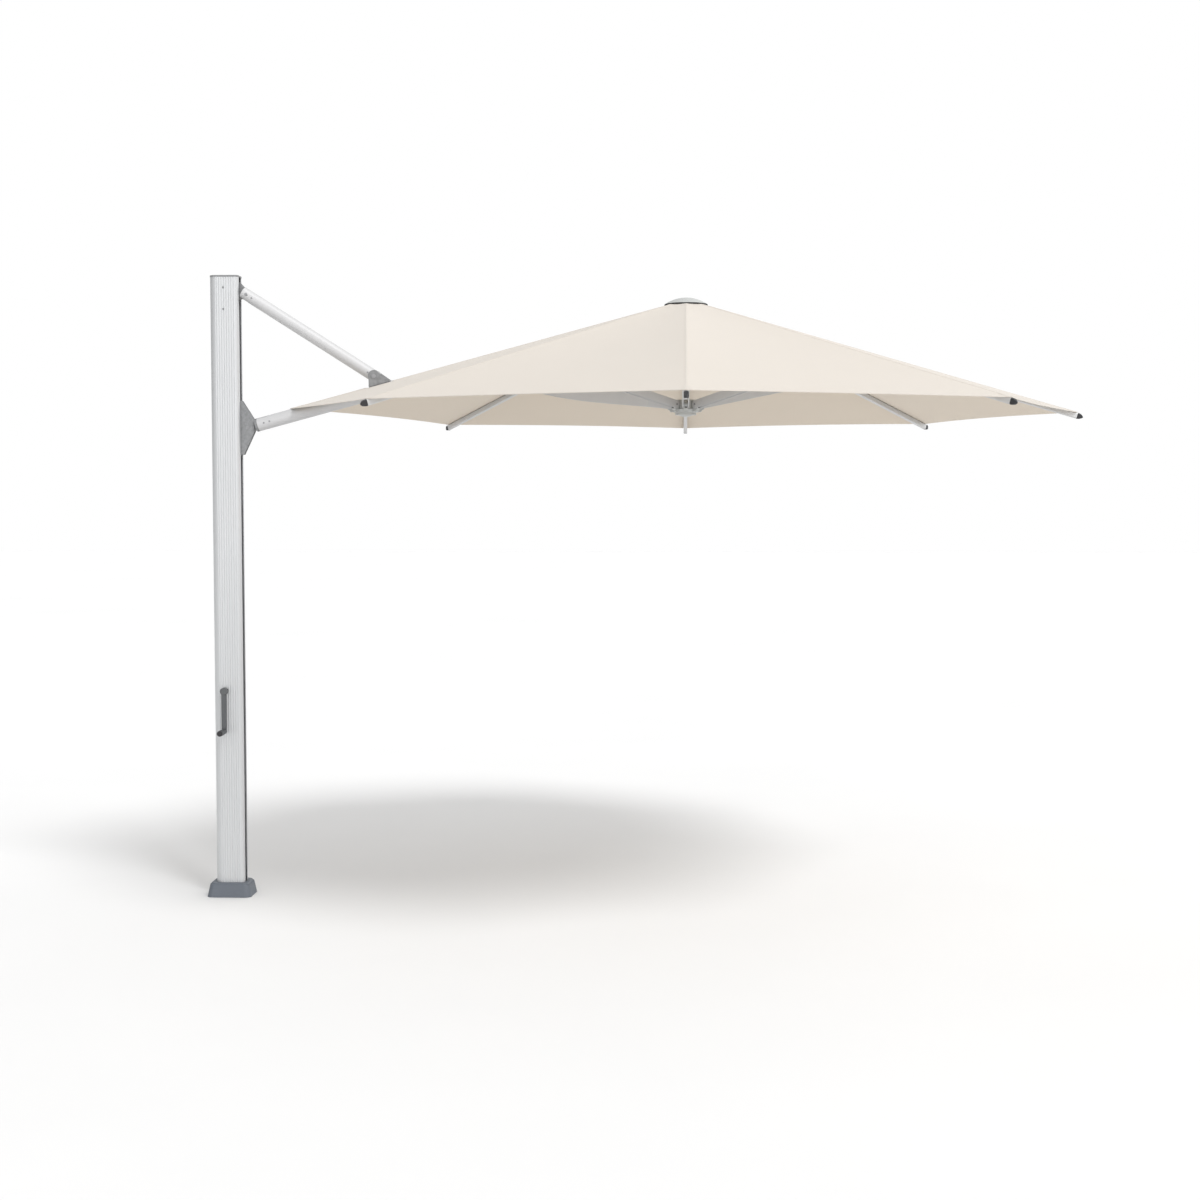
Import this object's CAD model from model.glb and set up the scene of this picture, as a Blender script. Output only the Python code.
"""Cantilever parasol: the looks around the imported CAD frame.

Metres, +Z up, +X from the mast to the canopy.
"""

import math

import bpy
import numpy as np
from mathutils import Matrix, Vector


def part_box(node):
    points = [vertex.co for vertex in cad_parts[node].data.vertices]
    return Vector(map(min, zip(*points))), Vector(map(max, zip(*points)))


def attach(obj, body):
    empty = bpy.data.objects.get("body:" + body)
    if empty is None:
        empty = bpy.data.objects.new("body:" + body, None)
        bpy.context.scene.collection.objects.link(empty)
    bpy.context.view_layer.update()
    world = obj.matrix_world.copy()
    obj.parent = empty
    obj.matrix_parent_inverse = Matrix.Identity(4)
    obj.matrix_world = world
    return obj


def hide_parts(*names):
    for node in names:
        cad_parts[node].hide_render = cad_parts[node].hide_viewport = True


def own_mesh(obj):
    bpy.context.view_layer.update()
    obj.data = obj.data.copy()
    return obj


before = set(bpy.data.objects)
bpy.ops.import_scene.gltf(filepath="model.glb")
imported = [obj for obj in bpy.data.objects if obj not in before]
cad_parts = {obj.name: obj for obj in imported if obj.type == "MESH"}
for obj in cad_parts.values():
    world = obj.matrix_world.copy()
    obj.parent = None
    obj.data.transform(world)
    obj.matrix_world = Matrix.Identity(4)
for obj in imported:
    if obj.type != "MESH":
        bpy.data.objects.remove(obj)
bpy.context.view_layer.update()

MM = 0.001
SIDES = ["right", "right_back", "back", "left_back", "left", "left_front", "front", "right_front"]
BOOM_SIDE = 4


def centre(node):
    low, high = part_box(node)
    return (low + high) / 2


HUB = centre("crown")


# ---------- node trees ----------


class Graph:
    """A material's node tree, with short calls for the nodes that this scene uses."""

    def __init__(self, name):
        self.material = bpy.data.materials.new(name)
        self.material.use_nodes = True
        self.tree = self.material.node_tree
        self.shader = self.tree.nodes["Principled BSDF"]

    def node(self, kind, inputs=None, **settings):
        made = self.tree.nodes.new(kind)
        for key, value in settings.items():
            setattr(made, key, value)
        for key, value in (inputs or {}).items():
            self.put(made, key, value)
        return made

    def put(self, node, key, value):
        """Sets an input to a value, or links it to another node's first output or to a given socket."""
        socket = node.inputs[key]
        if isinstance(value, bpy.types.Node):
            self.tree.links.new(value.outputs[0], socket)
        elif isinstance(value, bpy.types.NodeSocket):
            self.tree.links.new(value, socket)
        else:
            socket.default_value = value

    def set(self, **values):
        """Inputs of the shader; an underscore in a name stands for a space."""
        for key, value in values.items():
            self.put(self.shader, key.replace("_", " "), value)
        return self

    def points(self, scale=(1, 1, 1)):
        """Object coordinates, scaled."""
        place = self.node("ShaderNodeTexCoord").outputs["Object"]
        return self.node("ShaderNodeMapping", {"Vector": place, "Scale": scale})

    def uv(self, layer):
        return self.node("ShaderNodeUVMap", uv_map=layer)

    def noise(self, vector, scale, detail=3.0, rough=0.55):
        inputs = {"Vector": vector, "Scale": scale, "Detail": detail, "Roughness": rough}
        return self.node("ShaderNodeTexNoise", inputs)

    def ramp(self, factor, *stops):
        """Colour ramp through (place, colour) stops; a number stands for a grey."""
        made = self.node("ShaderNodeValToRGB", {"Fac": factor})
        elements = made.color_ramp.elements
        while len(elements) < len(stops):
            elements.new(0.5)
        for element, (place, tone) in zip(elements, stops):
            element.position = place
            element.color = (tone,) * 3 + (1,) if isinstance(tone, (int, float)) else (*tone, 1)
        return made

    def maths(self, operation, a, b=0.0, c=0.0):
        return self.node("ShaderNodeMath", {0: a, 1: b, 2: c}, operation=operation)

    def mix(self, factor, a, b, blend="MIX"):
        """Mix of two colours."""
        made = self.node("ShaderNodeMix", data_type="RGBA", blend_type=blend)
        self.put(made, 0, factor)
        for index, tone in ((6, a), (7, b)):
            self.put(made, index, (*tone, 1) if isinstance(tone, tuple) and len(tone) == 3 else tone)
        return made.outputs[2]

    def bump(self, height, strength, distance):
        inputs = {"Height": height, "Strength": strength, "Distance": distance}
        self.put(self.shader, "Normal", self.node("ShaderNodeBump", inputs))
        return self


def shade(tone, share):
    return tuple(min(1.0, part * share) for part in tone)


def edge_wear(graph, colour, worn, amount):
    """Colour that turns to the worn one on convex edges, broken up by noise."""
    sharp = graph.node("ShaderNodeNewGeometry").outputs["Pointiness"]
    edges = graph.ramp(sharp, (0.53, 0.0), (0.62, 1.0))
    broken = graph.ramp(graph.noise(graph.points(), 60.0), (0.35, 0.0), (0.65, amount))
    return graph.mix(graph.maths("MULTIPLY", edges, broken), colour, worn)


def extruded_metal(name, tone, metallic, rough, stretch):
    """Anodised or coated extrusion: faint draw lines along the length, and mottled gloss."""
    graph = Graph(name)
    lines = graph.noise(graph.points(stretch), 9.0, 4.0)
    clouds = graph.noise(graph.points(), 2.2, 2.0)
    colour = graph.mix(graph.ramp(lines, (0.3, 0.0), (0.7, 1.0)), shade(tone, 0.965), tone)
    colour = graph.mix(graph.ramp(clouds, (0.35, 0.0), (0.7, 0.35)), colour, shade(tone, 0.955))
    polish = graph.node(
        "ShaderNodeMapRange", {"Value": lines, "To Min": rough - 0.05, "To Max": rough + 0.06}
    )
    graph.set(Base_Color=colour, Roughness=polish.outputs[0], Metallic=metallic)
    return graph.bump(lines, 0.05, 0.0002).material


def cast_metal(name, tone, rough, metallic=0.0):
    """Coated casting: fine orange-peel skin, lighter worn edges."""
    graph = Graph(name)
    skin = graph.noise(graph.points(), 420.0, 2.0)
    clouds = graph.noise(graph.points(), 7.0, 3.0)
    colour = graph.mix(graph.ramp(clouds, (0.3, 0.0), (0.75, 1.0)), tone, shade(tone, 0.9))
    colour = edge_wear(graph, colour, shade(tone, 1.5), 0.6)
    polish = graph.node(
        "ShaderNodeMapRange", {"Value": clouds, "To Min": rough - 0.06, "To Max": rough + 0.08}
    )
    graph.set(Base_Color=colour, Roughness=polish.outputs[0], Metallic=metallic)
    return graph.bump(skin, 0.25, 0.0003).material


def moulded_plastic(name, tone, rough, grain=900.0):
    """Moulded plastic with a fine spark-eroded grain and slight scuffing."""
    graph = Graph(name)
    pits = graph.noise(graph.points(), grain, 1.0)
    scuffs = graph.noise(graph.points((1, 1, 4)), 24.0, 5.0, 0.7)
    dusty = graph.ramp(scuffs, (0.45, 0.0), (0.8, 0.5))
    colour = graph.mix(dusty, tone, shade(tone, 1.25))
    polish = graph.node(
        "ShaderNodeMapRange", {"Value": scuffs, "To Min": rough - 0.05, "To Max": rough + 0.12}
    )
    graph.set(Base_Color=colour, Roughness=polish.outputs[0])
    return graph.bump(pits, 0.3, 0.0002).material


def turned_steel(name, tone, rough):
    """Turned or rolled steel pins: bright, with fine rings."""
    graph = Graph(name)
    rings = graph.noise(graph.points((1, 14, 1)), 160.0, 2.0)
    colour = graph.mix(graph.ramp(rings, (0.35, 0.0), (0.65, 1.0)), shade(tone, 0.86), tone)
    polish = graph.node(
        "ShaderNodeMapRange", {"Value": rings, "To Min": rough - 0.06, "To Max": rough + 0.06}
    )
    graph.set(Base_Color=colour, Roughness=polish.outputs[0], Metallic=1.0)
    return graph.bump(rings, 0.15, 0.0002).material


def galvanised(name, tone):
    """Hot-dip zinc with its spangle."""
    graph = Graph(name)
    flakes = graph.node("ShaderNodeTexVoronoi", {"Vector": graph.points(), "Scale": 75.0})
    spangle = graph.ramp(flakes.outputs["Color"], (0.0, shade(tone, 0.78)), (1.0, shade(tone, 1.15)))
    polish = graph.ramp(flakes.outputs["Color"], (0.0, 0.34), (1.0, 0.56))
    graph.set(Base_Color=spangle, Roughness=polish, Metallic=0.85)
    return graph.bump(flakes.outputs["Distance"], 0.1, 0.0003).material


WEAVE_PITCH = 1.1 * MM


def weave_height(graph, cloth):
    """Height of a plain weave over flat cloth coordinates in metres."""
    parts = graph.node("ShaderNodeSeparateXYZ", {0: cloth})
    turn = math.pi / WEAVE_PITCH
    across = graph.maths("SINE", graph.maths("MULTIPLY", parts.outputs[0], turn))
    along = graph.maths("SINE", graph.maths("MULTIPLY", parts.outputs[1], turn))
    return graph.maths("MULTIPLY", across, along)


HEM_W = 24 * MM
# A stitch with the gap after it, the thread's share of that, and half of the thread's width
STITCH = 6 * MM
STITCH_SHARE = 0.72
THREAD_HALF = 0.5 * MM


def stitches(graph, run, offset, row):
    """Mask of a row of stitches: run is the distance along it, offset the distance from the edge."""
    near = graph.maths("COMPARE", offset, row, THREAD_HALF)
    beat = graph.maths("FRACT", graph.maths("DIVIDE", run, STITCH))
    return graph.maths("MULTIPLY", near, graph.maths("LESS_THAN", beat, STITCH_SHARE))


def canopy_cloth(name, tone, stitched):
    """Woven awning cloth: plain weave, slubs along the warp, soft mottling, and sewn rows at the hem."""
    graph = Graph(name)
    cloth = graph.uv("cloth")
    weave = weave_height(graph, cloth)
    slubs = graph.noise(graph.node("ShaderNodeMapping", {"Vector": cloth, "Scale": (260, 3, 1)}), 1.0)
    mottle = graph.noise(graph.node("ShaderNodeMapping", {"Vector": cloth, "Scale": (5, 5, 1)}), 1.0)
    colour = graph.mix(graph.ramp(slubs, (0.35, 0.0), (0.7, 1.0)), tone, shade(tone, 0.985))
    colour = graph.mix(graph.ramp(mottle, (0.3, 0.0), (0.7, 0.6)), colour, shade(tone, 0.975))
    colour = graph.mix(graph.ramp(weave, (0.0, 0.25), (0.6, 0.0)), colour, shade(tone, 0.93))
    height = weave
    if stitched:
        rows = graph.node("ShaderNodeSeparateXYZ", {0: graph.uv("edge")})
        run, offset = rows.outputs[0], rows.outputs[1]
        thread = graph.maths(
            "MAXIMUM",
            stitches(graph, run, offset, 4 * MM),
            stitches(graph, run, offset, HEM_W - 3 * MM),
        )
        colour = graph.mix(thread, colour, shade(tone, 0.8))
        height = graph.maths("ADD", weave, graph.maths("MULTIPLY", thread, 4.0))
    graph.set(Base_Color=colour, Roughness=0.86, Sheen_Weight=0.25, Sheen_Roughness=0.45)
    graph.set(Specular_IOR_Level=0.25)
    return graph.bump(height, 0.35, 0.00025).material


def braid(name, tone):
    """Braided rope: crossing strands around it."""
    graph = Graph(name)
    parts = graph.node("ShaderNodeSeparateXYZ", {0: graph.uv("wrap")})
    strands = [
        graph.maths("SINE", graph.maths("MULTIPLY_ADD", parts.outputs[1], pitch, parts.outputs[0]))
        for pitch in (900.0, -900.0)
    ]
    weave = graph.maths("MAXIMUM", *strands)
    colour = graph.ramp(weave, (0.1, shade(tone, 0.5)), (0.9, shade(tone, 1.6)))
    graph.set(Base_Color=colour, Roughness=0.8)
    return graph.bump(weave, 0.6, 0.0006).material


CREAM = (0.638, 0.588, 0.527)

FINISH = {
    "mast_aluminium": extruded_metal("mast_metal", (0.60, 0.61, 0.62), 0.5, 0.42, (10, 10, 0.12)),
    "tube_aluminium": extruded_metal("tube_metal", (0.55, 0.55, 0.555), 0.12, 0.5, (1.2, 1.2, 1.2)),
    "rib_aluminium": extruded_metal("rib_metal", (0.60, 0.60, 0.60), 0.35, 0.45, (3, 3, 3)),
    "cast_grey": cast_metal("cast_grey_coat", (0.208, 0.211, 0.216), 0.5),
    "dark_metal": cast_metal("dark_coat", (0.095, 0.1, 0.105), 0.45),
    "pin_steel": turned_steel("pin_metal", (0.36, 0.36, 0.37), 0.55),
    "galvanised_steel": galvanised("zinc", (0.52, 0.54, 0.56)),
    "foot_plastic": moulded_plastic("foot_cover_plastic", (0.118, 0.134, 0.158), 0.5),
    "black_plastic": moulded_plastic("black_moulding", (0.018, 0.018, 0.02), 0.42),
    "grip_plastic": moulded_plastic("grip_moulding", (0.07, 0.075, 0.08), 0.5),
    "hub_plastic": moulded_plastic("hub_moulding", (0.45, 0.46, 0.45), 0.38),
    "rope": braid("braided_rope", (0.05, 0.05, 0.055)),
    "canopy_cloth": canopy_cloth("awning_cloth", CREAM, True),
}
UNDERSIDE = canopy_cloth("awning_cloth_coated", (0.655, 0.575, 0.475), True)
PLAIN_CLOTH = canopy_cloth("awning_cloth_trim", shade(CREAM, 0.97), False)


def paint_frame():
    """Gives every CAD node the finish of its record slot, which is the name of its imported material."""
    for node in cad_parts.values():
        slot = node.data.materials[0].name.split(".")[0]
        node.data.materials.clear()
        node.data.materials.append(FINISH[slot])


# ---------- meshes ----------


def piece(name, points, faces, finish, body, sharp=40, smooth=True):
    """A mesh that rides on a body, with edges sharper than an angle kept crisp."""
    mesh = bpy.data.meshes.new(name)
    mesh.from_pydata([tuple(p) for p in points], [], faces)
    mesh.validate()
    mesh.materials.append(finish)
    mesh.polygons.foreach_set("use_smooth", [smooth] * len(mesh.polygons))
    if smooth:
        mesh.set_sharp_from_angle(angle=math.radians(sharp))
    obj = bpy.data.objects.new(name, mesh)
    bpy.context.scene.collection.objects.link(obj)
    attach(obj, body)
    return obj


def put_uv(obj, layer, values):
    """UV layer with one (u, v) for each vertex."""
    made = obj.data.uv_layers.new(name=layer)
    index = np.zeros(len(obj.data.loops), np.int32)
    obj.data.loops.foreach_get("vertex_index", index)
    made.data.foreach_set("uv", np.asarray(values, np.float32)[index].ravel())


def thicken(upper, lower, quads):
    """Closed skin from an upper and a lower sheet of points that share the same faces."""
    count = len(upper)
    faces = [list(q) for q in quads]
    faces += [[i + count for i in reversed(q)] for q in quads]
    edges = {}
    for q in quads:
        for a, b in zip(q, list(q[1:]) + [q[0]]):
            edges[(a, b)] = True
    faces += [[b, a, a + count, b + count] for a, b in edges if (b, a) not in edges]
    return list(upper) + list(lower), faces


def turned(profile, steps=32):
    """Points and faces of a closed solid of revolution about Z, from (radius, height) pairs."""
    points, faces = [], []
    for r, z in profile:
        for i in range(steps):
            a = 2 * math.pi * i / steps
            points.append(Vector((r * math.cos(a), r * math.sin(a), z)))
    for j in range(len(profile) - 1):
        for i in range(steps):
            n = (i + 1) % steps
            faces.append([j * steps + i, j * steps + n, (j + 1) * steps + n, (j + 1) * steps + i])
    faces.append(list(range(steps))[::-1])
    faces.append([(len(profile) - 1) * steps + i for i in range(steps)])
    return points, faces


# ---------- canopy ----------


def ridge_ends():
    """For each side, the inner and the outer end of the ridge on the CAD canopy's upper surface."""
    points = np.array([v.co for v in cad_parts["canopy"].data.vertices], float)
    ends = []
    for side in range(len(SIDES)):
        angle = side * math.pi / 4
        flat = points[:, :2] - np.array(HUB[:2])
        along = flat @ np.array([math.cos(angle), math.sin(angle)])
        across = np.abs(flat @ np.array([-math.sin(angle), math.cos(angle)]))
        on = (across < 1 * MM) & (along > 0)
        pair = []
        for reach in (along[on].min(), along[on].max()):
            here = on & (np.abs(along - reach) < 3 * MM)
            pair.append(Vector(points[here][points[here][:, 2].argmax()]))
        ends.append(pair)
    return ends


RIDGES = ridge_ends()
# On the boom the cloth's corner reaches a little further down than the CAD canopy's
BOOM_CORNER_EXTRA = 35 * MM
RIDGES[BOOM_SIDE][1] += (RIDGES[BOOM_SIDE][1] - RIDGES[BOOM_SIDE][0]).normalized() * BOOM_CORNER_EXTRA
CLOTH_T = 1.2 * MM
# Share of the ridge's length by which the hem is cut back half way between two ridges
HEM_CUT = 0.024
# How far a panel's middle hangs below the flat at the hem, and how much more half way down
EDGE_SAG = 9 * MM
MID_SAG = 13 * MM


def ridge_point(side, u):
    inner, outer = RIDGES[side % 8]
    return inner.lerp(outer, u)


def panel_normal(side):
    """Upward normal of the flat panel between a side's ridge and the next one."""
    a, b, c = ridge_point(side, 0), ridge_point(side, 1), ridge_point(side + 1, 1)
    return (b - a).cross(c - a).normalized()


NORMALS = [panel_normal(side) for side in range(8)]


def cloth_point(side, u, w, drop=0.0):
    """Point of a panel's upper side: u from the hub to the hem, w from its ridge to the next."""
    bow = 4 * w * (1 - w)
    reach = u * (1 - HEM_CUT * bow * u)
    flat = ridge_point(side, reach).lerp(ridge_point(side + 1, reach), w)
    sag = (EDGE_SAG * u + MID_SAG * math.sin(math.pi * u)) * bow
    return flat - NORMALS[side % 8] * (sag + drop)


# Columns of a half panel, from its ridge at 0 to the panel's middle at 1. The slit ends at one of them
SLIT_COLUMN = 0.0645
COLUMNS = [0, 0.012, 0.03, SLIT_COLUMN, 0.12, 0.19, 0.27, 0.36, 0.45, 0.55, 0.66, 0.78, 0.9, 1]
ROWS = 44
# The hem's second layer: its thickness, and the length of the slope up to it
DOUBLED = 0.7 * MM
HEM_STEP = 0.8 * MM


# Room in the slit beside the boom's bracket, on the hub's side and on the hem's
SLIT_NEAR = 3 * MM
SLIT_FAR = 20 * MM


def slit_rows():
    """The two places along the boom's ridge between which the bracket passes through the cloth."""
    low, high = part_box("boom_bracket")
    inner, outer = RIDGES[BOOM_SIDE]
    near, far = high.x + SLIT_NEAR, low.x - SLIT_FAR
    return [(inner.x - x) / (inner.x - outer.x) for x in (near, far)]


def row_places(with_slit):
    """Places along the ridge of a half panel's rows, with a step where the hem's second layer begins."""
    length = (RIDGES[0][1] - RIDGES[0][0]).length
    hem = 1 - HEM_W / length
    rows = [hem * i / ROWS for i in range(ROWS + 1)]
    rows += [hem + HEM_STEP / length, 1 - 0.5 * HEM_W / length, 1]
    if with_slit:
        for place in slit_rows():
            nearest = min(range(len(rows)), key=lambda i: abs(rows[i] - place))
            rows[nearest] = place
    return rows, hem


def half_panel(side, way):
    """The cloth from a ridge to the middle of a panel beside it, which gathers on its rib."""
    panel, ahead = (side, 1) if way > 0 else ((side - 1) % 8, -1)
    on_boom = side == BOOM_SIDE
    rows, hem = row_places(on_boom)
    hem_dir = (ridge_point(panel + 1, 1) - ridge_point(panel, 1)).normalized()
    fall_dir = NORMALS[panel].cross(hem_dir)
    upper, lower, flat, edge = [], [], [], []
    for u in rows:
        doubled = DOUBLED if u > hem else 0.0
        for v in COLUMNS:
            w = 0.5 * v if ahead > 0 else 1 - 0.5 * v
            top = cloth_point(panel, u, w) + NORMALS[panel] * doubled
            upper.append(top)
            lower.append(cloth_point(panel, u, w, CLOTH_T + 0.5 * doubled))
            rel = top - Vector((HUB.x, HUB.y, 0))
            flat.append((rel.dot(hem_dir), rel.dot(fall_dir)))
            rim = cloth_point(panel, 1, w)
            edge.append((rel.dot(hem_dir), (rim - top).length))
    wide = len(COLUMNS)
    skip = slit_rows() if on_boom else None
    quads = []
    for i in range(len(rows) - 1):
        for j in range(wide - 1):
            middle = (rows[i] + rows[i + 1]) / 2
            if skip and skip[0] < middle < skip[1] and COLUMNS[j + 1] <= SLIT_COLUMN:
                continue
            a, b = i * wide + j, i * wide + j + 1
            quad = [a, a + wide, b + wide, b]
            quads.append(quad if ahead > 0 else quad[::-1])
    points, faces = thicken(upper, lower, quads)
    name = f"cloth_{SIDES[side]}_{'a' if way > 0 else 'b'}"
    body = "boom" if on_boom else f"rib_{SIDES[side]}"
    obj = piece(name, points, faces, FINISH["canopy_cloth"], body, 30)
    obj.data.materials.append(UNDERSIDE)
    for face in obj.data.polygons[len(quads) : 2 * len(quads)]:
        face.material_index = 1
    put_uv(obj, "cloth", flat * 2)
    put_uv(obj, "edge", edge * 2)
    gather(obj, side, way)
    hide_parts("canopy")
    return obj


def gather(obj, side, way):
    """The half panel shrinks towards its ridge as the ribs fold, to a strip with a raised edge."""
    inner, outer = RIDGES[side]
    along = (outer - inner).normalized()
    angle = side * math.pi / 4
    out = Vector((-math.sin(angle), math.cos(angle), 0)) * way
    up = along.cross(out) * -way
    up = up if up.z > 0 else -up
    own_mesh(obj)


SEAM_START = 58 * MM
SEAM_HALF = 7 * MM
CORNER_HALF = 26 * MM
CORNER_LONG = 75 * MM
SEAM_ROWS = 30
CORNER_ROWS = 6
# How far the band's upper side stands above the cloth, and its lower side sinks in
PROUD = 0.6 * MM
SUNK = 0.2 * MM
# Places beyond both ends of a ridge: no slit
NO_SLIT = (2, 3)


def seam_point(side, u, offset, lift):
    """Point above the cloth at a sideways distance from a side's ridge."""
    panel = side if offset >= 0 else (side - 1) % 8
    chord = (ridge_point(panel + 1, u) - ridge_point(panel, u)).length
    share = abs(offset) / chord
    return cloth_point(panel, u, share if offset >= 0 else 1 - share, -lift)


def seam(side):
    """The sewn band on a ridge. It widens at the hem, and leaves the bracket's slit open."""
    length = (RIDGES[side][1] - RIDGES[side][0]).length
    start = SEAM_START / length
    corner = 1 - CORNER_LONG / length
    places = [start + (corner - start) * i / SEAM_ROWS for i in range(SEAM_ROWS + 1)]
    places += [corner + (1 - corner) * i / CORNER_ROWS for i in range(1, CORNER_ROWS + 1)]
    slit = slit_rows() if side == BOOM_SIDE else NO_SLIT
    places = sorted(places + [u for u in slit if u < 1])
    across = [-1, -0.5, 0, 0.5, 1]
    upper, lower, flat = [], [], []
    for u in places:
        half = SEAM_HALF + (CORNER_HALF - SEAM_HALF) * max(0.0, (u - corner) / (1 - corner))
        for step in across:
            upper.append(seam_point(side, u, step * half, PROUD + (DOUBLED if u > corner else 0)))
            lower.append(seam_point(side, u, step * half, -SUNK))
            flat.append((step * half, u * length))
    wide = len(across)
    quads = []
    for i in range(len(places) - 1):
        if slit[0] < (places[i] + places[i + 1]) / 2 < slit[1]:
            continue
        for j in range(wide - 1):
            a, b = i * wide + j, i * wide + j + 1
            quads.append([a, a + wide, b + wide, b])
    points, faces = thicken(upper, lower, quads)
    body = "boom" if side == BOOM_SIDE else f"rib_{SIDES[side]}"
    band = piece(f"seam_{SIDES[side]}", points, faces, PLAIN_CLOTH, body, 30)
    put_uv(band, "cloth", flat * 2)
    return band


# The ring's rows as shares of a ridge, its depth under the canopy's upper surface, and its thickness
PATCH_ROWS = [0.003, 0.02, 0.04, 0.06, 0.076]
PATCH_DROP = 1.6 * MM
PATCH_T = 0.8 * MM


def crown_patch():
    """The ring of cloth that stays on the crown, just under the canopy, and covers the ribs' roots."""
    upper, lower, flat = [], [], []
    shares = [0, 0.25, 0.5, 0.75]
    for u in PATCH_ROWS:
        for side in range(8):
            for w in shares:
                top = cloth_point(side, u, w, PATCH_DROP)
                upper.append(top)
                lower.append(top - Vector((0, 0, PATCH_T)))
                flat.append((top.x - HUB.x, top.y - HUB.y))
    ring = 8 * len(shares)
    quads = []
    for i in range(len(PATCH_ROWS) - 1):
        for j in range(ring):
            n = (j + 1) % ring
            quads.append([i * ring + j, (i + 1) * ring + j, (i + 1) * ring + n, i * ring + n])
    points, faces = thicken(upper, lower, quads)
    patch = piece("crown_patch", points, faces, PLAIN_CLOTH, "crown", 30)
    put_uv(patch, "cloth", flat * 2)


def build_canopy():
    for side in range(8):
        for way in (1, -1):
            cloth = half_panel(side, way)
            sewn = [seam(side)] if way > 0 else []
    crown_patch()


# ---------- rope and small fasteners ----------


BRAID_SIDES = 12
BRAID_ROWS = 40


def build_rope():
    """The braided rope from the winch drum up to the carriage, which comes down as it shortens."""
    low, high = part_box("closing_rope")
    middle = (low + high) / 2
    radius = (high.x - low.x) / 2
    steps = BRAID_SIDES
    points, wrap = [], []
    for i in range(BRAID_ROWS + 1):
        height = low.z + (high.z - low.z) * i / BRAID_ROWS
        for j in range(steps):
            angle = 2 * math.pi * j / steps
            out = Vector((math.cos(angle), math.sin(angle), 0)) * radius
            points.append((middle.x + out.x, middle.y + out.y, height))
            wrap.append((angle * 4, height))
    faces = []
    for i in range(BRAID_ROWS):
        for j in range(steps):
            n = (j + 1) % steps
            faces.append([i * steps + j, i * steps + n, (i + 1) * steps + n, (i + 1) * steps + j])
    faces += [list(range(steps))[::-1], [BRAID_ROWS * steps + j for j in range(steps)]]
    rope = piece("braided_rope", points, faces, FINISH["rope"], "mast", 60)
    put_uv(rope, "wrap", wrap)
    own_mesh(rope)
    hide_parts("closing_rope")


# Outline of a dome rivet, in millimetres from the tube's surface: (radius, height)
RIVET = [(4.6, -1), (4.6, 0.4), (3.8, 1.3), (2.2, 1.9), (0.4, 2.1)]


def rivets(name, start, end, body, places, radius):
    """Dome rivets on the front and the back of a tube, at distances from its two ends."""
    along = (end - start).normalized()
    points, faces = [], []
    shape, skin = turned([(r * MM, z * MM) for r, z in RIVET], 16)
    for place in places:
        origin = start + along * place if place > 0 else end + along * place
        for way in (-1, 1):
            base = len(points)
            turn = Matrix.Rotation(-way * math.pi / 2, 4, "X")
            points += [turn @ p + origin + Vector((0, way * radius, 0)) for p in shape]
            faces += [[base + i for i in face] for face in skin]
    piece(name, points, faces, FINISH["pin_steel"], body, 35)


# Half the width and half the height of a slot in a lug's end, in millimetres, and the slot's level
# above the runner's lowest point. A lug's flat end lies a little inside of the round one above it
SLOT_HALF = (6, 2.6)
SLOT_LEVEL = 45 * MM
FLAT_END_IN = 3 * MM


def bowl_slots():
    """Dark moulded slots in the flat ends of the runner's eight lugs."""
    low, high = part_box("runner")
    reach = (high.x - low.x) / 2 - FLAT_END_IN
    level = low.z + SLOT_LEVEL
    half_w, half_h = SLOT_HALF
    points, faces = [], []
    for side in range(8):
        turn = Matrix.Rotation(side * math.pi / 4, 4, "Z")
        base = len(points)
        for x in (reach - 2 * MM, reach + 0.5 * MM):
            for y, z in ((-half_w, -half_h), (half_w, -half_h), (half_w, half_h), (-half_w, half_h)):
                points.append(turn @ Vector((x, y * MM, z * MM)) + Vector((HUB.x, HUB.y, level)))
        sides = [(0, 3, 2, 1), (4, 5, 6, 7), (0, 1, 5, 4), (1, 2, 6, 5), (2, 3, 7, 6), (3, 0, 4, 7)]
        faces += [[base + i for i in corners] for corners in sides]
    piece("runner_slots", points, faces, FINISH["black_plastic"], "runner", smooth=False)


STRUT_R = 30.5 * MM
BOOM_R = 34 * MM


def build_fasteners():
    """Rivets near both ends of the strut, which falls along +X, and of the boom, which rises."""
    tubes = {
        "strut_rivets": ("strut_tube", "strut", 1, (0.03, 0.058, -0.058, -0.03), STRUT_R),
        "boom_rivets": ("boom_tube", "boom", -1, (0.035, 0.065, -0.065, -0.035), BOOM_R),
    }
    for name, (node, body, way, places, radius) in tubes.items():
        low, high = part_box(node)
        fall = math.atan2(high.z - low.z, high.x - low.x)
        edge = Vector((math.sin(fall), 0, -way * math.cos(fall))) * radius
        start = Vector((low.x, 0, high.z if way > 0 else low.z)) + edge
        end = Vector((high.x, 0, low.z if way > 0 else high.z)) - edge
        rivets(name, start, end, body, places, radius)


build_canopy()
build_rope()
bowl_slots()
build_fasteners()
paint_frame()


# ---------- floor, light and camera ----------


FLOOR_HALF = 60.0


def build_stage():
    mesh = bpy.data.meshes.new("floor")
    corners = [(-1, -1), (1, -1), (1, 1), (-1, 1)]
    points = [(x * FLOOR_HALF, y * FLOOR_HALF, -0.5 * MM) for x, y in corners]
    mesh.from_pydata(points, [], [(0, 1, 2, 3)])
    floor = bpy.data.objects.new("floor", mesh)
    bpy.context.scene.collection.objects.link(floor)
    graph = Graph("studio_floor")
    clouds = graph.noise(graph.points(), 0.4)
    graph.set(Base_Color=graph.ramp(clouds, (0.3, 0.80), (0.7, 0.82)), Roughness=0.95)
    mesh.materials.append(graph.material)


# Strength of the sky's light from the mast's side and from the canopy's side, and of the two lamps
SKY_LEFT = 0.4
SKY_RIGHT = 1.25
KEY_POWER = 1.7
FILL_POWER = 0.55


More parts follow.
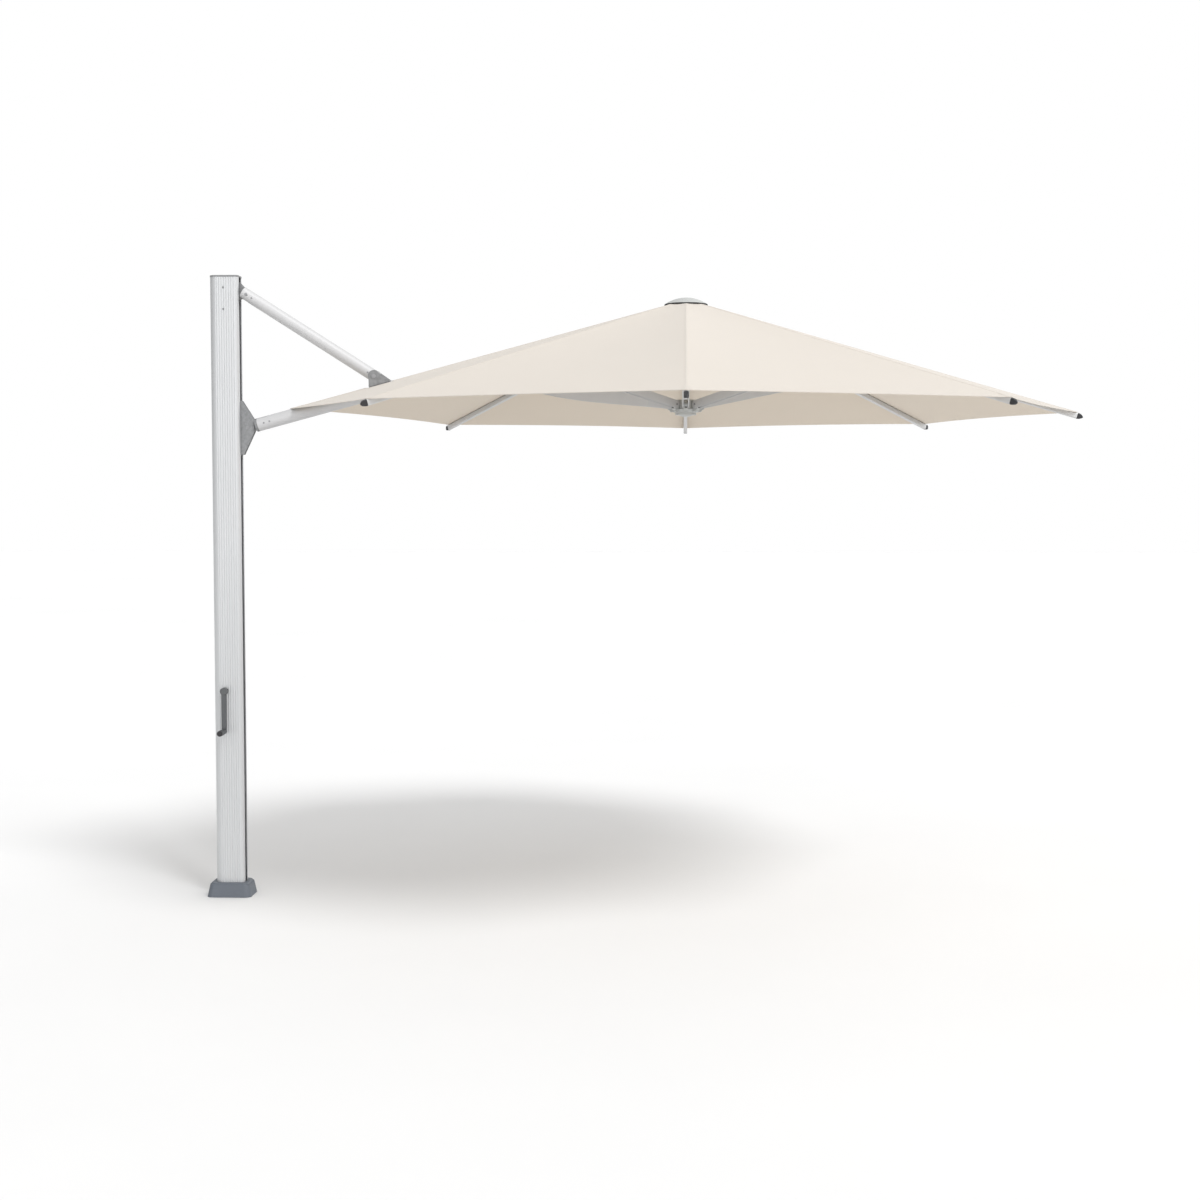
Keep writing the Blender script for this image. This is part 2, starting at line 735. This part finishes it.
def build_light():
    world = bpy.data.worlds.new("studio")
    world.use_nodes = True
    tree = world.node_tree
    lit = tree.nodes["Background"]
    lit.inputs["Color"].default_value = (1, 1, 1, 1)
    way = tree.nodes.new("ShaderNodeSeparateXYZ")
    tree.links.new(tree.nodes.new("ShaderNodeTexCoord").outputs["Generated"], way.inputs[0])
    fade = tree.nodes.new("ShaderNodeMapRange")
    spans = {"From Min": -1.0, "From Max": 1.0, "To Min": SKY_LEFT, "To Max": SKY_RIGHT}
    for key, value in spans.items():
        fade.inputs[key].default_value = value
    tree.links.new(way.outputs[0], fade.inputs["Value"])
    tree.links.new(fade.outputs[0], lit.inputs["Strength"])
    seen = tree.nodes.new("ShaderNodeBackground")
    seen.inputs["Color"].default_value = (1, 1, 1, 1)
    swap = tree.nodes.new("ShaderNodeMixShader")
    tree.links.new(tree.nodes.new("ShaderNodeLightPath").outputs["Is Camera Ray"], swap.inputs[0])
    tree.links.new(lit.outputs[0], swap.inputs[1])
    tree.links.new(seen.outputs[0], swap.inputs[2])
    tree.links.new(swap.outputs[0], tree.nodes["World Output"].inputs["Surface"])
    bpy.context.scene.world = world
    lamps = {
        "key": (KEY_POWER, 20, (0.5, -0.55, 0.85)),
        "fill": (FILL_POWER, 40, (-0.1, -1, 0.1)),
    }
    for name, (power, spread, source) in lamps.items():
        sun = bpy.data.lights.new(name, "SUN")
        sun.energy = power
        sun.angle = math.radians(spread)
        lamp = bpy.data.objects.new(name, sun)
        lamp.rotation_euler = Vector(source).to_track_quat("Z", "Y").to_euler()
        bpy.context.scene.collection.objects.link(lamp)


def build_camera():
    camera = bpy.data.cameras.new("camera")
    camera.lens = 53.97
    camera.sensor_width = 36.0
    camera.clip_end = 200.0
    holder = bpy.data.objects.new("camera", camera)
    holder.location = (2.350, -9.205, 2.067)
    holder.rotation_euler = (math.radians(86.751), 0.0, math.radians(2.656))
    bpy.context.scene.collection.objects.link(holder)
    bpy.context.scene.camera = holder
    bpy.context.scene.view_settings.view_transform = "Standard"


build_stage()
build_light()
build_camera()
